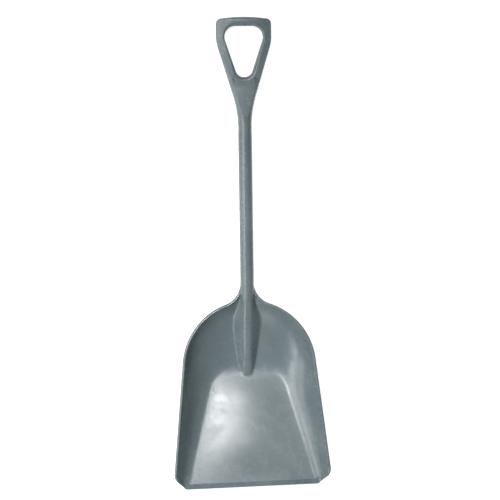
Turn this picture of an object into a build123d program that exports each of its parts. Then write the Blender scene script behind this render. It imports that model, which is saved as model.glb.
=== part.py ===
from build123d import *
from math import atan2, cos, hypot, radians, sin, tan
import os

# One-piece moulded scoop shovel, lying on its back on level ground.
# +X is the mirror direction, +Y runs from the blade's mouth to the grip, +Z is up.
# The blade's heel and the back of the grip touch the ground, at Z = 0.
os.makedirs("parts", exist_ok=True)

# ---- driving dimensions, in millimetres and degrees ----
# blade, measured along its flat floor from the front edge
neck_s = 440.6          # front edge to the neck, along the floor
neck_h = 91.3           # neck above the floor's underside
front_h = 27.0          # rim above the floor's underside at the front edge
floor_t = 5.0           # floor thickness
wall_t = 5.5            # wall thickness at the top, across the rim
floor_front = 146.0     # half width of the flat floor at the front edge
floor_side = (86.0, 224.0)   # where the flat floor's straight side ends
floor_turn = (72.0, 252.0)   # middle of its rear corner
floor_rear = (34.0, 270.0)   # where the rear corner ends
floor_back = 272.0      # rear end of the flat floor, on the centre line
corner_cut = (28.0, 35.5)    # front corners cut off, across and along the floor
corner_r = (8.0, 30.0)  # rounding at the front and at the side of each cut
lip_len = 10.0          # bevelled scraping edge, front to back
lip_half = 146.0        # and its half width, the whole flat floor
lip_t = 2.4             # thickness left at the very front

# rim, drawn in its own plane
arch_r = 148.5          # round back of the rim
arch_y = 257.9          # its centre, from the front
flare = radians(5.9)    # the sides open toward the mouth
arch_joint = radians(72.0)   # where the back of the arch is divided
bead_h = 6.0            # height of the thickened rim
bead_out = 3.0          # how far it stands outside the wall

# handle
lift = radians(18.3)    # floor against handle
shaft_r = 14.5
neck_r = 14.9           # the moulding swells a little from neck to yoke
yoke_r = 14.9
shoulder_r = 50.0       # hollow corner between rim and shaft
web_t = 8.0             # thickness of the two shoulder webs
neck_end = 15.0         # where the webs have run out and the clear shaft begins
crest_start = -50.0     # where the shaft ends and the ridge begins
crest_half = 13.5       # half width of the ridge's crest
tip_s = 247.0           # ridge's tip, from the front edge
flank = 30.0            # lean of the ridge's flanks, from upright

# grip, measured from the neck along the handle
grip_end = 581.0        # end of the grip
grip_half = 60.4        # half width of the grip
grip_t = 24.0           # thickness of the grip, front to back
crown = 5.3             # crown of the crossbar's end
grip_corner_r = 12.0
bend_d = 54.5           # from the end of the grip to the bend of its side
bend_r = 85.0
root_d = 202.5          # to where the side would meet the shaft
root_r = 290.0
foot_d = 250.0          # to where the round shaft begins
hole_top = 20.5         # finger hole: from the end of the grip to its near side
hole_end = 129.0        # and to its far side
hole_half = 50.6        # half width of its near side before rounding
hole_taper = 0.339      # how fast its sides close in
hole_corner_r = 23.0
hole_foot_r = 17.0
edge_r = 9.0            # rounding all round the grip
bar_cut = 34.0          # crossbar to arms
arm_cut = 116.0         # arms to yoke
flat_start = 150.0      # where the yoke's flat begins to rise
flat_end = 222.0        # where it runs out on the round shaft

# shape of the bowl from floor to rim: share of the way out, share of the way up
bowl = [(0.0, 0.0), (0.3, 0.055), (0.55, 0.2), (0.77, 0.53), (1.0, 1.0)]

# ---- side view, in the handle's own directions, with the neck at (0, 0) ----
rim_slope = atan2(neck_h - front_h, neck_s)
rim_len = hypot(neck_h - front_h, neck_s)


def side(s, h):
    """Blade measurements, along the floor and above it, to handle measurements."""
    ds, dh = s - neck_s, h - neck_h
    return (ds * cos(lift) + dh * sin(lift), -ds * sin(lift) + dh * cos(lift))


def bowl_back(share_out, share_up):
    """Point of the bowl's outside on the centre line, along the floor and above it."""
    under = (arch_y + arch_r - bead_out) * cos(rim_slope)
    s = floor_back + share_out * (under - floor_back)
    return (s, share_up * (front_h - bead_h + s * tan(rim_slope)))


# the ground touches the back of the grip and the lowest point of the bowl
touch_y = grip_end - edge_r
touch_z = -grip_t / 2
heel = max(
    (side(*bowl_back(out, up)) for out, up in bowl),
    key=lambda p: (touch_z - p[1]) / (touch_y - p[0]),
)
tilt = atan2(touch_z - heel[1], touch_y - heel[0])
front_y = side(0, 0)[0] * cos(tilt) + side(0, 0)[1] * sin(tilt)
end_y = grip_end * cos(tilt)
y_shift = -(front_y + end_y) / 2
z_shift = heel[0] * sin(tilt) - heel[1] * cos(tilt)


def row(y, z):
    """Handle measurements to the shovel's own frame."""
    return (0, y_shift + y * cos(tilt) + z * sin(tilt), z_shift - y * sin(tilt) + z * cos(tilt))


def leaned(y, z, angle):
    """Plane through a side-view point, its Y toward the grip, leaned down by an angle."""
    a = angle + tilt
    return Plane(origin=row(y, z), x_dir=(1, 0, 0), z_dir=(0, sin(a), cos(a)))


def across(y, z=0.0, angle=0.0):
    """Plane through a side-view point, square to the handle or to a leaned plane."""
    a = angle + tilt
    return Plane(origin=row(y, z), x_dir=(1, 0, 0), z_dir=(0, cos(a), -sin(a)))


handle_plane = leaned(0, 0, 0)
side_plane = Plane(origin=row(0, 0), x_dir=(0, cos(tilt), -sin(tilt)), z_dir=(1, 0, 0))
floor_plane = leaned(*side(0, 0), lift)
rim_plane = leaned(*side(0, front_h), lift - rim_slope)
under_rim = leaned(*side(0, front_h - bead_h), lift - rim_slope)


def rim_points(inset):
    """Front, tangent, turn, joint and back points of the rim, set in by a distance."""
    r = arch_r - inset
    turn = (flare + arch_joint) / 2
    tangent = (r * cos(flare), arch_y + r * sin(flare))
    return [
        (tangent[0] + tangent[1] * tan(flare), 0.0),
        tangent,
        (r * cos(turn), arch_y + r * sin(turn)),
        (r * cos(arch_joint), arch_y + r * sin(arch_joint)),
        (0.0, arch_y + r),
    ]


def floor_points(inset):
    """The same points on the edge of the flat floor."""
    return [
        (floor_front - inset, 0.0),
        (floor_side[0] - inset, floor_side[1]),
        (floor_turn[0] - inset, floor_turn[1] - inset),
        (floor_rear[0], floor_rear[1] - inset),
        (0.0, floor_back - inset),
    ]


def outline(points, forward=0.0):
    """Closed outline through the five points and their mirror images."""
    front, tangent, turn, joint, back = points
    run = tangent[1] - front[1]
    spread = (front[0] - tangent[0]) / run
    nose = (front[0] + forward * spread, front[1] - forward)
    with BuildSketch() as shape:
        with BuildLine():
            Line((-nose[0], nose[1]), nose)
            Line(nose, tangent)
            ThreePointArc(tangent, turn, joint)
            ThreePointArc(joint, back, (-joint[0], joint[1]))
            ThreePointArc((-joint[0], joint[1]), (-turn[0], turn[1]), (-tangent[0], tangent[1]))
            Line((-tangent[0], tangent[1]), (-nose[0], nose[1]))
        make_face()
    return shape.sketch


def bowl_section(inner, out, up):
    """Plane and points of one level of the bowl, outside or inside."""
    base = floor_t if inner else 0.0
    low = floor_points(1.0 if inner else 0.0)
    high = rim_points(bead_out + wall_t if inner else bead_out)
    rise = base + up * (front_h - bead_h - base)
    slope = up * rim_slope
    points = []
    for a, b in zip(low, high):
        s = a[1] + out * (b[1] * cos(rim_slope) - a[1])
        points.append((a[0] + out * (b[0] - a[0]), s / cos(slope)))
    return leaned(*side(0, rise), lift - slope), points


# ---- blade ----
# solid bowl, from its underside up to the seat of the rim bead
with BuildPart() as bowl_block:
    for out, up in bowl:
        level, points = bowl_section(False, out, up)
        with BuildSketch(level):
            add(outline(points))
    loft(ruled=True)

# the space inside it, open at the mouth and carried up past the rim
with BuildPart() as bowl_space:
    for out, up in bowl:
        level, points = bowl_section(True, out, up)
        with BuildSketch(level):
            add(outline(points, forward=8.0))
    loft(ruled=True)
    with BuildSketch(under_rim):
        add(outline(rim_points(bead_out + wall_t), forward=8.0))
    extrude(amount=40)

# plan of the blade with its rounded front corners
with BuildPart() as plan_block:
    with BuildSketch(floor_plane) as plan:
        points = rim_points(-0.6)
        add(outline(points))
        with BuildLine():
            nose, reach = floor_front, 4
            cut = (nose + reach * corner_cut[0], reach * corner_cut[1])
            Polyline(
                (-nose, 0), (nose, 0), cut, (cut[0], 600), (-cut[0], 600), (-cut[0], cut[1]), (-nose, 0)
            )
        make_face(mode=Mode.INTERSECT)
        corners = plan.vertices().sort_by(Axis.Y)[:4]
        fillet(corners[:2], corner_r[0])
        fillet(plan.vertices().sort_by(Axis.Y)[4:6], corner_r[1])
    extrude(amount=150)

# scraping edge: the strip of floor along the mouth, bevelled on top
with BuildPart() as scraping_lip:
    with BuildSketch(side_plane):
        with BuildLine():
            Polyline(
                side(0, 0),
                side(lip_len, 0),
                side(lip_len, floor_t),
                side(0, lip_t),
                close=True,
            )
        make_face()
    extrude(amount=lip_half, both=True)
    add(plan_block.part, mode=Mode.INTERSECT)

with BuildPart() as lip_seat:
    with BuildSketch(side_plane):
        with BuildLine():
            Polyline(
                side(-5, -5),
                side(lip_len, -5),
                side(lip_len, floor_t + 5),
                side(-5, floor_t + 5),
                close=True,
            )
        make_face()
    extrude(amount=lip_half, both=True)

with BuildPart() as pan:
    add(bowl_block.part)
    add(bowl_space.part, mode=Mode.SUBTRACT)
    add(plan_block.part, mode=Mode.INTERSECT)
    add(lip_seat.part, mode=Mode.SUBTRACT)

# thickened rim all round the top of the wall
with BuildPart() as rim_bead:
    with BuildSketch(under_rim):
        add(outline(rim_points(0.0)))
    extrude(amount=bead_h)
    with BuildSketch(under_rim):
        add(outline(rim_points(bead_out + wall_t), forward=8.0))
    extrude(amount=bead_h, mode=Mode.SUBTRACT)
    add(plan_block.part, mode=Mode.INTERSECT)

# ---- neck ----
arch_back = arch_y + arch_r

# round shaft, running on over the rim to the ridge, and down the back of the bowl
with BuildPart() as round_bar:
    with BuildSketch(across(-110)):
        Circle(neck_r)
    extrude(amount=110 + neck_end)
    with BuildSketch(across(neck_end)):
        Circle(shaft_r)
    extrude(amount=grip_end - foot_d - neck_end)
    add(bowl_block.part, mode=Mode.SUBTRACT)
    add(rim_bead.part, mode=Mode.SUBTRACT)
    with BuildSketch(under_rim):
        with Locations((0, rim_len - 300 + crest_start)):
            Rectangle(200, 600)
    extrude(amount=60, mode=Mode.SUBTRACT)

# its root, which the webs hold, and the clear length above it
with BuildPart() as neck:
    add(round_bar.part)
    split(bisect_by=across(neck_end), keep=Keep.BOTTOM)

with BuildPart() as shaft:
    add(round_bar.part)
    split(bisect_by=across(neck_end), keep=Keep.TOP)

# ridge that carries the shaft's round on down the bowl to a pointed tip
tip = side(tip_s, floor_t)
crest_len = hypot(crest_start - tip[0], neck_r - tip[1])
crest_slope = atan2(tip[1] - neck_r, crest_start - tip[0])
with BuildPart() as ridge:
    with BuildSketch(leaned(crest_start, neck_r, crest_slope)):
        with BuildLine():
            Polyline(
                (-crest_half, 12),
                (crest_half, 12),
                (crest_half - 2.5, -crest_len + 42),
                (0, -crest_len),
                (-crest_half + 2.5, -crest_len + 42),
                close=True,
            )
        make_face()
    extrude(amount=-70, taper=-flank)
    add(bowl_space.part, mode=Mode.INTERSECT)
    split(bisect_by=across(crest_start), keep=Keep.BOTTOM)
    add(neck.part, mode=Mode.SUBTRACT)

# webs that fill the corners between the rim's round back and the shaft
with BuildPart() as webs:
    hollow_x = neck_r - 0.6 + shoulder_r
    hollow_y = arch_y + ((arch_r + shoulder_r) ** 2 - hollow_x**2) ** 0.5
    reach = arch_r / (arch_r + shoulder_r)
    foot = (hollow_x * reach, arch_y + (hollow_y - arch_y) * reach)
    lean = radians(225)
    mid = (hollow_x + shoulder_r * cos(lean), hollow_y + shoulder_r * sin(lean))
    with BuildSketch(rim_plane):
        with BuildLine():
            top = (hollow_x - shoulder_r, hollow_y)
            ThreePointArc(foot, mid, top)
            Line(top, (-top[0], top[1]))
            ThreePointArc((-top[0], top[1]), (-mid[0], mid[1]), (-foot[0], foot[1]))
            Polyline((-foot[0], foot[1]), (-foot[0], foot[1] - 30), (foot[0], foot[1] - 30), foot)
        make_face()
    extrude(amount=-web_t)
    add(bowl_block.part, mode=Mode.SUBTRACT)
    add(rim_bead.part, mode=Mode.SUBTRACT)
    add(bowl_space.part, mode=Mode.SUBTRACT)
    with BuildSketch(across(-110)):
        Circle(neck_r)
    extrude(amount=110 + neck_end, mode=Mode.SUBTRACT)

with BuildPart() as left_shoulder:
    add(webs.part)
    split(bisect_by=Plane.YZ, keep=Keep.BOTTOM)

with BuildPart() as right_shoulder:
    add(webs.part)
    split(bisect_by=Plane.YZ, keep=Keep.TOP)

# ---- D-grip ----
with BuildPart() as grip_block:
    with BuildSketch(handle_plane) as ring:
        with BuildLine():
            half, stem = grip_half, shaft_r - 0.6
            corner_y = grip_end - crown
            ThreePointArc((-half, corner_y), (0, grip_end), (half, corner_y))
            Polyline(
                (half, corner_y),
                (half, grip_end - bend_d),
                (stem, grip_end - root_d),
                (stem, grip_end - foot_d),
                (-stem, grip_end - foot_d),
                (-stem, grip_end - root_d),
                (-half, grip_end - bend_d),
                (-half, corner_y),
            )
        make_face()
        by_height = ring.vertices().sort_by(Axis.Y)
        fillet(by_height[-2:], grip_corner_r)
        fillet(ring.vertices().filter_by(lambda v: abs(v.Y - grip_end + bend_d) < 0.1), bend_r)
        fillet(ring.vertices().filter_by(lambda v: abs(v.Y - grip_end + root_d) < 0.1), root_r)
    extrude(amount=grip_t / 2, both=True)
    # finger hole
    with BuildSketch(handle_plane) as hole:
        foot_half = hole_half - hole_taper * (hole_end - hole_top)
        with BuildLine():
            Polyline(
                (-hole_half, grip_end - hole_top),
                (hole_half, grip_end - hole_top),
                (foot_half, grip_end - hole_end),
                (-foot_half, grip_end - hole_end),
                close=True,
            )
        make_face()
        fillet(hole.vertices().sort_by(Axis.Y)[-2:], hole_corner_r)
        fillet(hole.vertices().sort_by(Axis.Y)[:2], hole_foot_r)
    extrude(amount=grip_t / 2, both=True, mode=Mode.SUBTRACT)
    front_and_back = grip_block.faces().sort_by(SortBy.AREA)[-2:]
    fillet(front_and_back.edges(), edge_r)

with BuildPart() as grip_bar:
    add(grip_block.part)
    split(bisect_by=across(grip_end - bar_cut), keep=Keep.TOP)

with BuildPart() as arms:
    add(grip_block.part)
    split(bisect_by=across(grip_end - bar_cut), keep=Keep.BOTTOM)
    split(bisect_by=across(grip_end - arm_cut), keep=Keep.TOP)

with BuildPart() as left_arm:
    add(arms.part)
    split(bisect_by=Plane.YZ, keep=Keep.BOTTOM)

with BuildPart() as right_arm:
    add(arms.part)
    split(bisect_by=Plane.YZ, keep=Keep.TOP)

# round root of the shaft, sliced by a flat on the front and back of the yoke
with BuildPart() as yoke_root:
    y0, y1, y2 = grip_end - foot_d, grip_end - flat_end, grip_end - flat_start
    with BuildSketch(side_plane):
        with BuildLine():
            Polyline((y0, 0), (y0, yoke_r), (y1, yoke_r), (y2, 26), (y2, 0), close=True)
        make_face()
    revolve(axis=Axis(row(0, 0), (0, cos(tilt), -sin(tilt))))
    with BuildSketch(side_plane):
        t = grip_t / 2
        high = yoke_r + 0.1
        with BuildLine():
            Polyline((y0, high), (y1, high), (y2, t), (y2, -t), (y1, -high), (y0, -high), close=True)
        make_face()
    extrude(amount=60, both=True, mode=Mode.INTERSECT)

with BuildPart() as yoke:
    add(grip_block.part)
    split(bisect_by=across(grip_end - arm_cut), keep=Keep.BOTTOM)
    add(yoke_root.part)

# ---- pieces ----
pieces = {
    "pan": pan,
    "scraping_lip": scraping_lip,
    "rim_bead": rim_bead,
    "ridge": ridge,
    "left_shoulder": left_shoulder,
    "right_shoulder": right_shoulder,
    "neck": neck,
    "shaft": shaft,
    "yoke": yoke,
    "left_arm": left_arm,
    "right_arm": right_arm,
    "grip_bar": grip_bar,
}
for name, piece in pieces.items():
    piece.part.label = name
    export_step(piece.part, f"parts/{name}.step")
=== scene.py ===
import math

import bpy
import numpy as np
from mathutils import Matrix, Vector


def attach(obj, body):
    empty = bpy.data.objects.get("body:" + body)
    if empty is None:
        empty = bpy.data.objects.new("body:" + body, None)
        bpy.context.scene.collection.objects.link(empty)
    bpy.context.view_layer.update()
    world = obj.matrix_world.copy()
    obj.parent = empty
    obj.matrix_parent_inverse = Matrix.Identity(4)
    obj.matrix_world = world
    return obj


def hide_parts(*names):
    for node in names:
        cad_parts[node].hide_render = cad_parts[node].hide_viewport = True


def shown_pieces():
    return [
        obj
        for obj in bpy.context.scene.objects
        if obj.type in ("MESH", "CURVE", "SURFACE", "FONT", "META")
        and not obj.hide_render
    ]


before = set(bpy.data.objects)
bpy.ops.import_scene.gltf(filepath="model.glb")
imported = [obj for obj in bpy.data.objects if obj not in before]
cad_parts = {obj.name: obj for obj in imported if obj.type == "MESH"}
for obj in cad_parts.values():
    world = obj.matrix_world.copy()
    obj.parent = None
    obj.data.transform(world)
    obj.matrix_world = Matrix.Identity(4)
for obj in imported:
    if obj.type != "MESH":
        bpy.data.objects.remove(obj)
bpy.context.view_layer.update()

# ---------------------------------------------------------------- frames
# Handle frame, in millimetres: x across, y along the handle from the neck to the
# grip, z up from the handle's axis. The row frame is leaned by TILT about x.
TILT = math.atan2(0.0437947, 0.9990406)
NECK_Y, NECK_Z = -68.0748, 37.0390
COS_T, SIN_T = math.cos(TILT), math.sin(TILT)


def to_row(points):
    """Handle millimetres to row metres, for an array of points."""
    p = np.asarray(points, float)
    y = NECK_Y + p[..., 1] * COS_T + p[..., 2] * SIN_T
    z = NECK_Z - p[..., 1] * SIN_T + p[..., 2] * COS_T
    return np.stack([p[..., 0], y, z], -1) / 1000.0


def direction_to_row(v):
    return np.array([v[0], v[1] * COS_T + v[2] * SIN_T, -v[1] * SIN_T + v[2] * COS_T])


# ---------------------------------------------------------------- blade measurements
SHAFT_R = 14.9              # where the neck ends
FRONT_Y = -447.0            # scraping edge
FLOOR_SLOPE = 0.33071       # floor against the handle
FLOOR_T = 5.27              # floor thickness, measured along z
RIM_SLOPE = 0.17633         # rim plane against the handle
RIM_COS = 0.98481
ARCH_R = 148.5              # round back of the rim
ARCH_Q = -187.4             # its centre, along the rim plane
FLARE = math.radians(5.9)   # how fast the sides widen toward the front
SHOULDER_R = 50.0           # hollow between the rim and the shaft
SHOULDER_X = 65.0
SHOULDER_Q = 0.15
FOOT_ANGLE = math.atan2(SHOULDER_Q - ARCH_Q, SHOULDER_X)
CORNER_X = 147.5            # the cut corner starts at the end of the flat floor
CORNER_LEAN = math.atan2(28.0, 35.5 * 0.949)
BEAD_H = 5.0                # height of the rim's bead over the wall
BEAD_IN = 8.0               # from the outline to the foot of the bead's inner side
NECK_END = 15.0             # where the blade's grid hands over to the handle
FLOOR_HALF = 84.0           # half width of the flat floor where its sides turn in at the back
FLOOR_TURN = -240.0         # where they do
FLOOR_SPREAD = 0.2822       # how fast the flat floor widens toward the front
FLOOR_CROWN = 3.0           # rise of the floor's middle
PAN_LOW = -183.0            # past here the floor runs level with the ground
WALL_FOOT = 0.36            # share of the wall's width that its rounded foot takes
LEVEL_SLOPE = -direction_to_row((0, 1, 0))[2] / direction_to_row((0, 0, 1))[2]
# half width of the ridge where it meets the bowl, by distance along the handle
RIDGE_FOOT = ((-212, -206, -200, -188, -165, -140, -110, -87, -75, -60, -48, -20),
              (5, 11, 14.5, 18, 22.5, 26, 29.5, 31, 29, 24.5, 20, 17))


def smooth(a, b, x):
    t = np.clip((x - a) / (b - a), 0, 1)
    return t * t * (3 - 2 * t)


def mix(a, b, t):
    return a + (b - a) * t


def smax(a, b, k):
    h = np.maximum(k - np.abs(a - b), 0) / k
    return np.maximum(a, b) + h * h * k / 4


def smin(a, b, k):
    return -smax(-a, -b, k)


def half_width(y, inset=0.0):
    """Half width of the blade's outline, set in by a distance, front corners left out."""
    q = y / RIM_COS
    r = ARCH_R - inset
    side_q = ARCH_Q + r * math.sin(FLARE)
    foot_q = ARCH_Q + r * math.sin(FOOT_ANGLE)
    side = r * math.cos(FLARE) + (side_q - q) * math.tan(FLARE)
    arch = np.sqrt(np.maximum(r * r - (q - ARCH_Q) ** 2, 0))
    hollow = (SHOULDER_R + inset) ** 2 - np.minimum(q - SHOULDER_Q, 0) ** 2
    shoulder = SHOULDER_X - np.sqrt(np.maximum(hollow, 0))
    neck = shoulder + (SHAFT_R - 15.0) * smooth(0, NECK_END, y)
    return np.where(q < side_q, side, np.where(q < foot_q, arch, neck))


def side_distance(x, y):
    """Inward distance from the sides and the round back of the rim."""
    q = y / RIM_COS
    tangent_x, tangent_q = ARCH_R * math.cos(FLARE), ARCH_Q + ARCH_R * math.sin(FLARE)
    side = ((tangent_x - x) + (tangent_q - q) * math.tan(FLARE)) * math.cos(FLARE)
    arch = ARCH_R - np.hypot(x, q - ARCH_Q)
    return np.where(q - ARCH_Q <= math.tan(FLARE) * x, side, arch)


def rim_distance(x, y):
    """Inward distance from the sides, the round back, the hollow shoulders and the shaft."""
    q = y / RIM_COS
    in_foot = np.arctan2(q - ARCH_Q, np.maximum(x, 1e-6)) > FOOT_ANGLE
    hollow = np.hypot(x - SHOULDER_X, np.minimum(q - SHOULDER_Q, 0)) - SHOULDER_R
    hollow = hollow + (SHAFT_R - 15.0) * smooth(0, NECK_END, y)
    return np.where(in_foot, hollow, side_distance(x, y))


def edge_distance(x, y):
    """Inward distance from the whole outline, with the front edge and its corners."""
    e = rim_distance(x, y)
    cut = (CORNER_X - x) * math.cos(CORNER_LEAN) + (y - FRONT_Y) * math.sin(CORNER_LEAN)
    e = np.where(y < -300, smin(e, cut, 6.0), e)
    return np.maximum(np.where(y < -300, smin(e, y - FRONT_Y, 3.0), e), 0)


def corner_width(y):
    """Half width of the outline with its cut and rounded front corners."""
    low, high = half_width(y) * 0.7, half_width(y) + 1.0
    for _ in range(40):
        half = (low + high) / 2
        inside = edge_distance(half, y) > 1e-7
        low, high = np.where(inside, half, low), np.where(inside, high, half)
    return low


def floor_edge():
    """Edge of the flat floor, from the back on the centre line round to past the front."""
    p0, p3 = np.array([FLOOR_HALF, FLOOR_TURN]), np.array([0.0, -186.0])
    p1, p2 = p0 + 24 * np.array([-0.271, 0.9625]), p3 + np.array([42.0, 0])
    t = np.linspace(1, 0, 40)[:, None]
    turn = p0 * (1 - t) ** 3 + 3 * p1 * t * (1 - t) ** 2 + 3 * p2 * t * t * (1 - t) + p3 * t**3
    return np.vstack([turn, [[FLOOR_HALF + FLOOR_SPREAD * 290, FLOOR_TURN - 290]]])


FLOOR_EDGE = floor_edge()


def floor_distance(x, y):
    """Signed distance outward from the edge of the flat floor."""
    best = np.full(x.shape, 1e9)
    sign = np.ones(x.shape)
    for a, b in zip(FLOOR_EDGE[:-1], FLOOR_EDGE[1:]):
        d = b - a
        length = math.hypot(*d)
        t = ((x - a[0]) * d[0] + (y - a[1]) * d[1]) / length**2
        t = np.clip(t, 0, 1)
        px, py = x - a[0] - t * d[0], y - a[1] - t * d[1]
        dist = np.hypot(px, py)
        nearer = dist < best - 1e-9
        best = np.where(nearer, dist, best)
        outward = -d[1] * (x - a[0]) + d[0] * (y - a[1])
        sign = np.where(nearer, np.where(outward >= 0, 1.0, -1.0), sign)
    return best * sign


def floor_z(y):
    return 51.7 - FLOOR_SLOPE * (y - FRONT_Y) + FLOOR_T


def floor_crown(x, y):
    """The slight rise of the floor toward its middle, gone at the lip, the sides and the back."""
    share = np.clip(x / (FLOOR_HALF + FLOOR_SPREAD * (FLOOR_TURN - y)), -1, 1)
    return FLOOR_CROWN * (1 - share**2) ** 2 * smooth(-440, -350, y) * (1 - smooth(-270, -200, y))


def rim_z(y):
    return -RIM_SLOPE * y


def bowl(x, y):
    """Inside of the bowl without bead or ridge, held level outside the rim's inner edge,
    and the same surface carried on up, which the underside follows."""
    x = np.abs(x)
    d_f = floor_distance(x, y)
    d_r = rim_distance(x, y) - BEAD_IN
    u = d_f / np.maximum(d_f + np.maximum(d_r, 0), 6.0)
    back = smooth(-256, -161, y)
    u0 = smax((u - WALL_FOOT) / (1 - WALL_FOOT), 0 * u, WALL_FOOT / (1 - WALL_FOOT))
    up = np.clip(u0, 0, 1)
    f = mix(up, 0.569 * up + 0.431 * up**5.7, back)
    top = rim_z(y) - BEAD_H
    low = smax(floor_z(y) + floor_crown(x, y), floor_z(PAN_LOW) + LEVEL_SLOPE * (y - PAN_LOW), 12.0)
    held = low + smin(f, np.ones_like(f), 0.05) * (top - low)
    carried = low + f * (top - low) + 0.9 * np.clip(-d_r, 0, 8)
    return held, carried


def ridge(x, y):
    """The shaft's round carried on down the bowl as a ridge with a rounded crest."""
    run = -50.0 - y
    soft = 12.0
    fall = soft * np.log1p(np.exp(np.clip(run / soft, -40, 40)))
    crest = SHAFT_R - 0.22 * fall
    foot = sum(np.interp(y + d, *RIDGE_FOOT) for d in (-9, -6, -3, 0, 3, 6, 9)) / 7
    crown = np.minimum(mix(5.0, 8.0, smooth(-150, -205, y)), 0.5 * foot)
    round_edge = 6.0

    def crowned(half):
        over = np.maximum(half - crown, 0)
        return np.minimum(half, crown) ** 2 / 55.0 + over * 2 * crown / 55.0

    def flank(half):
        over = np.maximum(half - crown, 0)
        return np.sqrt(over**2 + round_edge**2) - round_edge

    drop = crest - crowned(foot) - bowl(foot, y)[0]
    spread = crest - crowned(np.abs(x)) - np.maximum(drop, 0.5) * flank(np.abs(x)) / flank(foot)
    knee = SHAFT_R * mix(0.9, 0.97, smooth(-30, 0, y))
    side = np.maximum(np.abs(x) - knee, 0)
    knee_z = np.sqrt(SHAFT_R**2 - knee**2)
    round_z = np.sqrt(SHAFT_R**2 - np.minimum(np.abs(x), knee) ** 2) - side * knee / knee_z
    return mix(spread, crest - SHAFT_R + round_z, smooth(-62, -25, y))


def closed(e, r):
    t = 1 - np.clip(e / r, 0, 1)
    return np.sqrt(np.maximum(1 - t * t, 0))


def sheets(x, y):
    """Heights of the blade's top and underside."""
    ax = np.abs(x)
    e = edge_distance(ax, y)
    e_side = side_distance(ax, y)
    held, carried = bowl(x, y)
    h = 0.5
    run = np.hypot(
        (bowl(x + h, y)[1] - bowl(x - h, y)[1]) / (2 * h),
        (bowl(x, y + h)[1] - bowl(x, y - h)[1]) / (2 * h),
    )
    on_side = np.where(y > -60, 1.0, 1 - smooth(8, 28, e_side))
    bead = BEAD_H * (1 - smooth(4.4, BEAD_IN + 0.4, e))
    bevel = 3.07 * np.clip(1 - e / 11.0, 0, 1)
    pan_top = held + on_side * bead - (1 - on_side) * bevel
    under_bead = held - 1.5 * on_side - FLOOR_T * (1 - on_side) - 1.5 * smooth(2, 5, e) * on_side
    under_wall = carried - 5.0 * np.sqrt(1 + np.minimum(run, 1.3) ** 2)
    bottom = smin(under_bead, under_wall, 1.0)
    bottom = np.minimum(bottom, pan_top - 2.8)
    # ridge and shaft
    r = ridge(x, y)
    top = smax(pan_top, r, mix(3.0, 4.0, smooth(-190, -120, y)))
    knee = 0.93 * SHAFT_R
    side = np.maximum(ax - knee, 0)
    knee_z = math.sqrt(SHAFT_R**2 - knee**2)
    belly = -np.sqrt(SHAFT_R**2 - np.minimum(ax, knee) ** 2) + side * knee / knee_z
    bottom = np.where(y > -120, smin(bottom, belly, 5.0), bottom)
    # closing at the outline
    middle = held + 1.5 * on_side - 4.17 * (1 - on_side)
    r_top, r_low = mix(1.1, 3.5, on_side), mix(1.1, 3.0, on_side)
    top = middle + (top - middle) * closed(e, r_top)
    bottom = middle - (middle - bottom) * closed(e, r_low)
    # into the round shaft
    neck = smooth(-8, 10, y)
    radius = corner_width(y)
    circle = np.sqrt(np.maximum(radius**2 - ax**2, 0))
    return mix(top, circle, neck), mix(bottom, -circle, neck), e


# ---------------------------------------------------------------- blade grid
LIP_STEPS = (0, 0.04, 0.15, 0.35, 0.65, 1.05, 1.6, 2.3, 3.1, 4.0, 5.0, 6.1, 7.3, 8.6, 10.0,
             11.0, 12.2, 13.6, 15.2)


def rows():
    """Rows of the blade's grid, closest together at the lip and at the back of the rim."""
    ys = [FRONT_Y + d for d in LIP_STEPS]
    for end, step in ((-250, 2.0), (-110, 1.6), (-62, 1.1), (-44, 0.6), (NECK_END - 1.0, 1.1)):
        while ys[-1] < end:
            ys.append(ys[-1] + step)
    return np.array(ys[:-1] + [NECK_END])


EDGE_STEPS = [0.0, 0.05, 0.2, 0.45, 0.8, 1.25, 1.8, 2.5, 3.5, 4.4, 5.0, 5.6, 6.2, 6.8, 7.4, 8.0, 8.8, 10.0]


def grid():
    y = rows()
    ridge_half = np.interp(
        y, [-447, -300, -212, -150, -100, -60, -30, 0, 15], [36, 34, 12, 34, 38, 34, 22, 20, 20]
    )
    inner = half_width(y, 10.0)
    outer = corner_width(np.maximum(y, FRONT_Y + 0.02))
    front = smooth(-400, -436, y)
    inner = mix(inner, np.minimum(inner, 126.0), front)
    first = np.minimum(ridge_half, 0.75 * inner)
    columns = []
    n_a, n_b = 22, 56
    for i in range(n_a):
        columns.append(first * i / n_a)
    for i in range(n_b):
        columns.append(first + (inner - first) * i / n_b)
    offsets = []
    for e in reversed(EDGE_STEPS):
        at_e = half_width(y, e)
        share = e / 10.0
        flat = outer - (outer - inner) * share
        offsets.append(mix(at_e, flat, smooth(-392, -408, y)))
    columns += offsets
    half = np.array(columns).T
    x = np.hstack([-half[:, :0:-1], half])
    return x, np.repeat(y[:, None], x.shape[1], 1)


X, Y = grid()
TOP, LOW, EDGE = sheets(X, Y)
N_ROW, N_COL = X.shape
TOP_ID = np.arange(N_ROW * N_COL).reshape(N_ROW, N_COL)
LOW_ID = TOP_ID + N_ROW * N_COL
for shared in (np.s_[0, :], np.s_[:, 0], np.s_[:, -1]):
    TOP[shared] = (TOP[shared] + LOW[shared]) / 2
    LOW[shared] = TOP[shared]
    LOW_ID[shared] = TOP_ID[shared]
VERTS = to_row(
    np.concatenate(
        [np.stack([X, Y, TOP], -1).reshape(-1, 3), np.stack([X, Y, LOW], -1).reshape(-1, 3)]
    )
)


def cell_quads(ids):
    """The four corners of every cell, counted so that a top cell faces up."""
    return np.stack([ids[:-1, :-1], ids[:-1, 1:], ids[1:, 1:], ids[1:, :-1]], -1)


TOP_QUADS = cell_quads(TOP_ID)
LOW_QUADS = cell_quads(LOW_ID)[..., ::-1]


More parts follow.
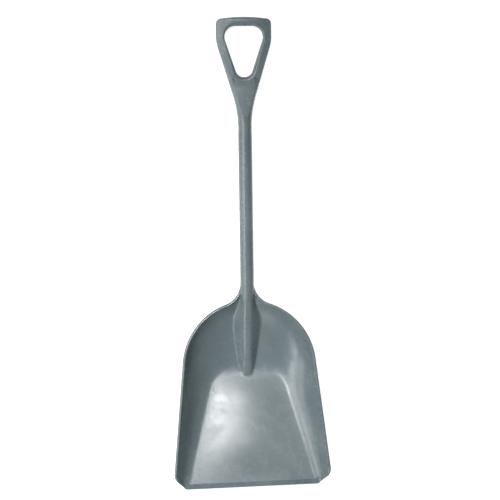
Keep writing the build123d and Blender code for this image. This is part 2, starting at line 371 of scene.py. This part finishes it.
def vertex_normals(verts, quads):
    total = np.zeros_like(verts)
    a, b, c, d = (verts[quads[:, i]] for i in range(4))
    n = np.cross(c - a, d - b)
    for i in range(4):
        np.add.at(total, quads[:, i], n)
    return total / np.maximum(np.linalg.norm(total, axis=1, keepdims=True), 1e-12)


def closed_piece(name, node, verts, normals, top, low_of):
    """A closed piece standing for one CAD node: top cells, the cells right under them,
    and a wall wherever the piece stops before the two sheets meet."""
    low = low_of[top][:, ::-1]
    edges = np.concatenate([top[:, [i, (i + 1) % 4]] for i in range(4)])
    edges = edges[edges[:, 0] != edges[:, 1]]
    size = len(verts)
    ahead = edges[:, 0] * size + edges[:, 1]
    behind = edges[:, 1] * size + edges[:, 0]
    rim = edges[~np.isin(ahead, behind)]
    faces, shades = [], []
    for face in np.concatenate([top, low]).tolist():
        unique = list(dict.fromkeys(face))
        if len(unique) > 2:
            faces.append(unique)
            shades.extend(normals[unique])
    for i, j in rim:
        face = list(dict.fromkeys(int(k) for k in (j, i, low_of[i], low_of[j])))
        if len(face) > 2:
            n = np.cross(verts[face[1]] - verts[face[0]], verts[face[2]] - verts[face[0]])
            faces.append(face)
            shades.extend([n / max(np.linalg.norm(n), 1e-12)] * len(face))
    used = np.unique(np.concatenate([np.array(f) for f in faces]))
    remap = np.zeros(size, int)
    remap[used] = np.arange(len(used))
    mesh = bpy.data.meshes.new(name)
    mesh.from_pydata(verts[used].tolist(), [], [[int(remap[i]) for i in f] for f in faces])
    mesh.polygons.foreach_set("use_smooth", [True] * len(mesh.polygons))
    mesh.normals_split_custom_set([tuple(n) for n in shades])
    obj = bpy.data.objects.new(name, mesh)
    bpy.context.scene.collection.objects.link(obj)
    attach(obj, "root")
    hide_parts(node)
    return obj


NORMALS = vertex_normals(VERTS, np.concatenate([TOP_QUADS.reshape(-1, 4), LOW_QUADS.reshape(-1, 4)]))
LOW_OF = np.arange(len(VERTS))
LOW_OF[TOP_ID.ravel()] = LOW_ID.ravel()


def middle_of(a):
    return (a[:-1, :-1] + a[:-1, 1:] + a[1:, 1:] + a[1:, :-1]) / 4


CX, CY, CE = middle_of(X), middle_of(Y), middle_of(EDGE)
half_columns = (N_COL - 1) // 2
column = np.abs(np.arange(N_COL - 1) + 0.5 - half_columns)[None, :] * np.ones((N_ROW - 1, 1))
is_lip = (CY < FRONT_Y + 10.0) & (np.abs(CX) < 140)
is_neck = (CY > -50) & ((np.abs(CX) < 15.5) | (CY > 4))
is_ridge = (CY > -212) & (CY <= -50) & (column < 22)
is_shoulder = (CY > -46.5) & ~is_neck & (CE < 60) & (side_distance(np.abs(CX), CY) < BEAD_IN + 4)
is_bead = (CE < BEAD_IN) & ~is_lip & ~is_neck & ~is_ridge & ~is_shoulder & (CY < -40)
taken = is_lip | is_neck | is_ridge | is_shoulder | is_bead
for name, node, mask in (
    ("pan_body", "pan", ~taken),
    ("scraping_edge", "scraping_lip", is_lip),
    ("rolled_rim", "rim_bead", is_bead),
    ("ridge_body", "ridge", is_ridge),
    ("left_web", "left_shoulder", is_shoulder & (CX < 0)),
    ("right_web", "right_shoulder", is_shoulder & (CX > 0)),
    ("neck_body", "neck", is_neck),
):
    closed_piece(name, node, VERTS, NORMALS, TOP_QUADS[mask], LOW_OF)


# ---------------------------------------------------------------- handle
GRIP_END = 581.0            # along the handle from the neck; depths are counted back from here
GRIP_HALF = 60.4
GRIP_H = 12.0               # half the grip's thickness
CROWN = 5.3                 # crown of the crossbar's end
CORNER_R = 12.0
BEND_D = 54.5               # where the grip's sides start to close in
ROOT_D = 206.5              # where they reach the shaft
HOLE = (20.5, 129.0, 50.6, 0.339)       # near side, far side, half width, how fast it closes in
LOOP_END = 141.0            # where the loop round the finger hole hands over to the stem
YOKE_END, ARM_END, BAR_END = 250.0, 116.0, 34.0
# half width of the shaft by depth: it swells a little at both ends
SHAFT_HALF = ((240, 262, 300, 350, 420, 505, 545, 566), (14.9, 14.9, 14.8, 14.8, 14.7, 14.7, 14.8, 14.9))


def rounded(points, radii, step=0.8):
    """An open line through points with its inner corners rounded."""
    out = [np.array(points[0], float)]
    for before, at, after, r in zip(points, points[1:], points[2:], radii):
        before, at, after = (np.array(q, float) for q in (before, at, after))
        a, b = before - at, after - at
        a, b = a / np.hypot(*a), b / np.hypot(*b)
        half = math.acos(np.clip(a @ b, -1, 1)) / 2
        away = r / math.tan(half)
        centre = at + (a + b) / np.hypot(*(a + b)) * r / math.sin(half)
        start, end = at + a * away - centre, at + b * away - centre
        turn = math.atan2(start[0] * end[1] - start[1] * end[0], start @ end)
        for k in np.linspace(0, 1, max(int(abs(turn) * r / step), 3)):
            c, s = math.cos(turn * k), math.sin(turn * k)
            out.append(centre + (c * start[0] - s * start[1], s * start[0] + c * start[1]))
    out.append(np.array(points[-1], float))
    return np.array(out)


def spaced(line, n):
    """n + 1 points along a line, evenly by length."""
    run = np.concatenate([[0], np.cumsum(np.hypot(*np.diff(line, axis=0).T))])
    at = np.linspace(0, run[-1], n + 1)
    return np.stack([np.interp(at, run, line[:, 0]), np.interp(at, run, line[:, 1])], 1)


def part_of(line, start, end):
    """The part of a line between the points nearest to start and end."""
    i, j = (int(np.argmin(np.hypot(*(line - p).T))) for p in (start, end))
    return line[i : j + 1]


# half outlines as (x, depth), from the middle of the crossbar round to the middle of the far side
top_half = GRIP_HALF - 0.5
crown_line = [(x, CROWN * (x / GRIP_HALF) ** 2) for x in np.linspace(0, top_half, 24)[:-1]]
stem_half = 13.9
outer_side = rounded(
    [crown_line[-1], (GRIP_HALF, CROWN), (GRIP_HALF, BEND_D), (stem_half, ROOT_D), (stem_half, 262.0)],
    (CORNER_R, 85.0, 290.0),
)
outer_side = outer_side[1:]
crown_line = np.array([p for p in crown_line if p[0] < outer_side[0][0] - 0.4])
OUTER = np.vstack([crown_line, outer_side])
hole_foot = HOLE[2] - HOLE[3] * (HOLE[1] - HOLE[0])
INNER = rounded([(0, HOLE[0]), (HOLE[2], HOLE[0]), (hole_foot, HOLE[1]), (0, HOLE[1])], (23.0, 17.0))


def stem_width(depth):
    ring = np.interp(depth, OUTER[:, 1], OUTER[:, 0])
    return smax(ring, np.interp(depth, *SHAFT_HALF), 2.0) - 0.3 * smooth(262, 240, depth)


def line_distance(x, depth, line):
    best = np.full(x.shape, 1e9)
    for a, b in zip(line[:-1], line[1:]):
        d = b - a
        t = np.clip(((x - a[0]) * d[0] + (depth - a[1]) * d[1]) / (d @ d), 0, 1)
        best = np.minimum(best, np.hypot(x - a[0] - t * d[0], depth - a[1] - t * d[1]))
    return best


def grip_height(x, depth):
    """Half thickness of the handle: a round shaft, its yoke sliced flat, and a rounded loop."""
    ax = np.abs(x)
    width = stem_width(depth)
    e = np.where(depth > LOOP_END + 1e-6, width - ax, line_distance(ax, depth, OUTER))
    e = np.minimum(e, line_distance(ax, depth, INNER))
    blend = smooth(148, 224, depth)
    w = mix(10.4, width, blend)
    high = mix(GRIP_H, width, blend)
    power = mix(2.5, 2.0, blend)
    t = np.clip(1 - e / w, 0, 1)
    section = high * np.sqrt(np.maximum(1 - t**power, 0))
    flat = GRIP_H + 3.4 * np.clip((depth - 150) / 72, -0.02, 2) - ax**2 / 700.0
    flat = np.where(depth > 232, section + 9, flat)
    return smin(section, flat, 0.8)


def handle_mesh():
    across = 2 * 26
    theta = np.linspace(-math.pi / 2, math.pi / 2, across + 1)
    share = np.sin(theta)
    # stem: rows from the neck to the loop
    depth = np.concatenate(
        [np.linspace(GRIP_END - NECK_END, YOKE_END, 70), np.arange(YOKE_END - 1.7, LOOP_END, -1.7)]
    )
    depth = np.append(depth[depth > LOOP_END + 0.8], LOOP_END)
    stem_x = stem_width(depth)[:, None] * share[None, :]
    stem_d = np.repeat(depth[:, None], across + 1, 1)
    # loop: from the middle of the crossbar round to the middle of its far side, right half
    keys = [
        ((0, 0), (44.0, 2.6), (0, HOLE[0]), (31.0, 24.0), 26),
        ((44.0, 2.6), (60.4, 26.0), (31.0, 24.0), (41.5, 48.0), 26),
        ((60.4, 26.0), (stem_width(LOOP_END), LOOP_END), (41.5, 48.0), (17.0, 119.0), 64),
    ]
    outer, inner = [], []
    for o0, o1, i0, i1, n in keys:
        outer.append(spaced(part_of(OUTER, o0, o1), n)[:-1])
        inner.append(spaced(part_of(INNER, i0, i1), n)[:-1])
    last = part_of(INNER, (17.0, 119.0), (0, HOLE[1]))
    inner.append(spaced(last, across // 2))
    end = stem_width(LOOP_END) * share[across // 2 :][::-1]
    outer.append(np.stack([end, np.full(len(end), LOOP_END)], 1))
    outer, inner = np.vstack(outer), np.vstack(inner)
    outer[len(outer) - len(end)] = (end[0], LOOP_END)
    # the whole loop: right half down, then the left half back up
    mirror = np.array([-1, 1])
    outer = np.vstack([outer, outer[-2:0:-1] * mirror])
    inner = np.vstack([inner, inner[-2:0:-1] * mirror])
    n_loop = len(outer)
    steps = 26
    t = (1 - np.cos(np.linspace(0, math.pi, steps + 1))) / 2
    loop = outer[:, None, :] * (1 - t[None, :, None]) + inner[:, None, :] * t[None, :, None]
    # number the vertices: stem first, the loop's far side reuses the stem's last row
    n_stem = stem_x.size
    stem_id = np.arange(n_stem).reshape(stem_x.shape)
    loop_id = n_stem + np.arange(n_loop * (steps + 1)).reshape(n_loop, steps + 1)
    middle = n_loop // 2
    for k in range(across + 1):
        loop_id[(middle - across // 2 + k) % n_loop, 0] = stem_id[-1, across - k]
    x = np.concatenate([stem_x.ravel(), loop[..., 0].ravel()])
    d = np.concatenate([stem_d.ravel(), loop[..., 1].ravel()])
    z = grip_height(x, d)
    n = len(x)
    low_of = np.arange(n) + n
    stem_edge = np.concatenate([stem_id[:, 0], stem_id[:, -1]])
    real = np.ones(n_loop, bool)
    real[middle - across // 2 : middle + across // 2 + 1] = False
    open_edge = np.concatenate([stem_edge, loop_id[:, -1], loop_id[real, 0]])
    z[open_edge] = 0
    low_of[open_edge] = open_edge
    verts = np.concatenate([np.stack([x, GRIP_END - d, z], -1), np.stack([x, GRIP_END - d, -z], -1)])
    verts = to_row(verts)
    low_of = np.concatenate([low_of, np.arange(n, 2 * n)])
    stem_cells = cell_quads(stem_id).reshape(-1, 4)
    turn = np.roll(loop_id, -1, 0)
    loop_cells = np.stack([loop_id[:, 1:], turn[:, 1:], turn[:, :-1], loop_id[:, :-1]], -1).reshape(-1, 4)
    cells = np.concatenate([stem_cells, loop_cells])
    return verts, cells, low_of, x, d


HANDLE, CELLS, UNDER, HX, HD = handle_mesh()
CELL_D, CELL_X = HD[CELLS].mean(1), HX[CELLS].mean(1)
SHADES = vertex_normals(HANDLE, np.concatenate([CELLS, UNDER[CELLS][:, ::-1]]))
for name, node, mask in (
    ("round_shaft", "shaft", CELL_D > YOKE_END),
    ("yoke_body", "yoke", (CELL_D <= YOKE_END) & (CELL_D > ARM_END)),
    ("left_side", "left_arm", (CELL_D <= ARM_END) & (CELL_D > BAR_END) & (CELL_X < 0)),
    ("right_side", "right_arm", (CELL_D <= ARM_END) & (CELL_D > BAR_END) & (CELL_X > 0)),
    ("crossbar", "grip_bar", CELL_D <= BAR_END),
):
    closed_piece(name, node, HANDLE, SHADES, CELLS[mask], UNDER)


# ---------------------------------------------------------------- material
def moulded_plastic():
    mat = bpy.data.materials.new("moulded_polypropylene")
    mat.use_nodes = True
    tree = mat.node_tree
    tree.nodes.clear()
    new, link = tree.nodes.new, tree.links.new
    out = new("ShaderNodeOutputMaterial")
    shader = new("ShaderNodeBsdfPrincipled")
    link(shader.outputs["BSDF"], out.inputs["Surface"])
    coords = new("ShaderNodeTexCoord")

    def noise(scale, detail, rough):
        node = new("ShaderNodeTexNoise")
        node.inputs["Scale"].default_value = scale
        node.inputs["Detail"].default_value = detail
        node.inputs["Roughness"].default_value = rough
        link(coords.outputs["Object"], node.inputs["Vector"])
        return node.outputs["Fac"]

    def ramp(source, stops):
        node = new("ShaderNodeValToRGB")
        node.color_ramp.interpolation = "EASE"
        while len(node.color_ramp.elements) < len(stops):
            node.color_ramp.elements.new(0.5)
        for element, (at, colour) in zip(node.color_ramp.elements, stops):
            element.position = at
            element.color = (*colour, 1)
        link(source, node.inputs["Fac"])
        return node.outputs["Color"]

    broad = ramp(noise(9.0, 4.0, 0.6), [(0.32, (0.100, 0.128, 0.138)), (0.68, (0.128, 0.160, 0.171))])
    link(broad, shader.inputs["Base Color"])
    rough = ramp(noise(42.0, 5.0, 0.65), [(0.3, (0.22, 0.22, 0.22)), (0.7, (0.30, 0.30, 0.30))])
    link(rough, shader.inputs["Roughness"])
    shader.inputs["IOR"].default_value = 1.49
    bump = new("ShaderNodeBump")
    bump.inputs["Strength"].default_value = 0.12
    bump.inputs["Distance"].default_value = 0.0006
    link(noise(700.0, 2.0, 0.5), bump.inputs["Height"])
    link(bump.outputs["Normal"], shader.inputs["Normal"])
    return mat


plastic = moulded_plastic()
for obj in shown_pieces():
    obj.data.materials.clear()
    obj.data.materials.append(plastic)


# ---------------------------------------------------------------- stage
def pale_material(name):
    mat = bpy.data.materials.new(name)
    mat.use_nodes = True
    shader = mat.node_tree.nodes["Principled BSDF"]
    shader.inputs["Base Color"].default_value = (0.5, 0.5, 0.5, 1)
    shader.inputs["Roughness"].default_value = 0.9
    shader.inputs["Specular IOR Level"].default_value = 0.0
    shader.inputs["Emission Color"].default_value = (1, 1, 1, 1)
    shader.inputs["Emission Strength"].default_value = 0.8
    return mat


def pale_sheet(name, verts, faces, material):
    mesh = bpy.data.meshes.new(name)
    mesh.from_pydata(verts, [], faces)
    mesh.materials.append(material)
    obj = bpy.data.objects.new(name, mesh)
    bpy.context.scene.collection.objects.link(obj)
    return obj


def square(half, z):
    return [(-half, -half, z), (half, -half, z), (half, half, z), (-half, half, z)], [(0, 1, 2, 3)]


pale_sheet("floor", *square(6.0, -0.0003), pale_material("pale_floor"))
# below and far behind it a wider floor and a round wall carry on, for the camera only
AROUND, FAR, HIGH, FAR_DOWN = 48, 29.0, 24.0, -0.002
ring = [2 * math.pi * i / AROUND for i in range(AROUND)]
wall = [(FAR * math.sin(a), FAR * math.cos(a), z) for z in (FAR_DOWN, HIGH) for a in ring]
wall_faces = [(i, (i + 1) % AROUND, AROUND + (i + 1) % AROUND, AROUND + i) for i in range(AROUND)]
far_pale = pale_material("pale_far")
far_pale.cycles.emission_sampling = "NONE"
for obj in (
    pale_sheet("far_floor", *square(30.0, FAR_DOWN), far_pale),
    pale_sheet("far_wall", wall, wall_faces, far_pale),
):
    obj.visible_diffuse = obj.visible_glossy = obj.visible_shadow = False
    obj.data.polygons.foreach_set("use_smooth", [True] * len(obj.data.polygons))
world = bpy.data.worlds.new("studio")
bpy.context.scene.world = world
world.use_nodes = True
background = world.node_tree.nodes["Background"]
background.inputs["Color"].default_value = (1, 1, 1, 1)
background.inputs["Strength"].default_value = 0.02


# name, looks at, angle from upright, bearing from the grip's end, distance, width, power, spread
PAN = Vector((-0.085, -0.27, 0.04))
MIDDLE = Vector((0, -0.1, 0.05))
LIGHTS = (
    ("far", PAN, 27.7, -7.6, 6.0, 0.6, 3.6, 30),
    ("far_broad", PAN, 28, 0, 6.0, 1.3, 1.35, 30),
    ("left_back", PAN, 35, 321, 3.0, 1.4, 9.0, 76),
    ("left", PAN, 40, 278, 3.0, 1.4, 5.6, 76),
    ("left_front", MIDDLE, 47, 235, 3.0, 1.2, 24, 180),
    ("left_low", MIDDLE, 68, 268, 3.0, 1.2, 13, 180),
    ("front", MIDDLE, 50, 180, 3.0, 1.2, 10, 180),
    ("right", MIDDLE, 60, 90, 3.0, 1.2, 1, 180),
)


def soft_light(name, target, lean, bearing, away, width, power, spread):
    lean, bearing = math.radians(lean), math.radians(bearing)
    aim = Vector((math.sin(lean) * math.sin(bearing), math.sin(lean) * math.cos(bearing), math.cos(lean)))
    data = bpy.data.lights.new(name, "AREA")
    data.shape = "DISK"
    data.size = width
    data.energy = power
    data.spread = math.radians(spread)
    obj = bpy.data.objects.new(name, data)
    obj.location = target + aim * away
    obj.rotation_mode = "QUATERNION"
    obj.rotation_quaternion = (-aim).to_track_quat("-Z", "Y")
    obj.visible_camera = False
    bpy.context.scene.collection.objects.link(obj)


for light in LIGHTS:
    soft_light(*light)

# ---------------------------------------------------------------- camera
YAW, PITCH, ROLL = math.radians(6.4), math.radians(5.94), math.radians(-0.82)
DISTANCE = 2.729
target = to_row([7.4, 72.8, 0.0])
back = direction_to_row(
    (-math.sin(YAW) * math.cos(PITCH), math.sin(PITCH), math.cos(YAW) * math.cos(PITCH))
)
up = direction_to_row((0, 1, 0))
right = np.cross(up, back)
right /= np.linalg.norm(right)
up = np.cross(back, right)
c, s = math.cos(ROLL), math.sin(ROLL)
right, up = c * right + s * up, -s * right + c * up
camera = bpy.data.objects.new("camera", bpy.data.cameras.new("camera"))
camera.data.lens = 88.99
camera.data.sensor_width = 36.0
place = target + back * DISTANCE
camera.matrix_world = Matrix(
    [[right[i], up[i], back[i], place[i]] for i in range(3)] + [[0, 0, 0, 1]]
)
camera.data.clip_start, camera.data.clip_end = 0.05, 30
bpy.context.scene.collection.objects.link(camera)
bpy.context.scene.camera = camera
bpy.context.scene.view_settings.view_transform = "Standard"
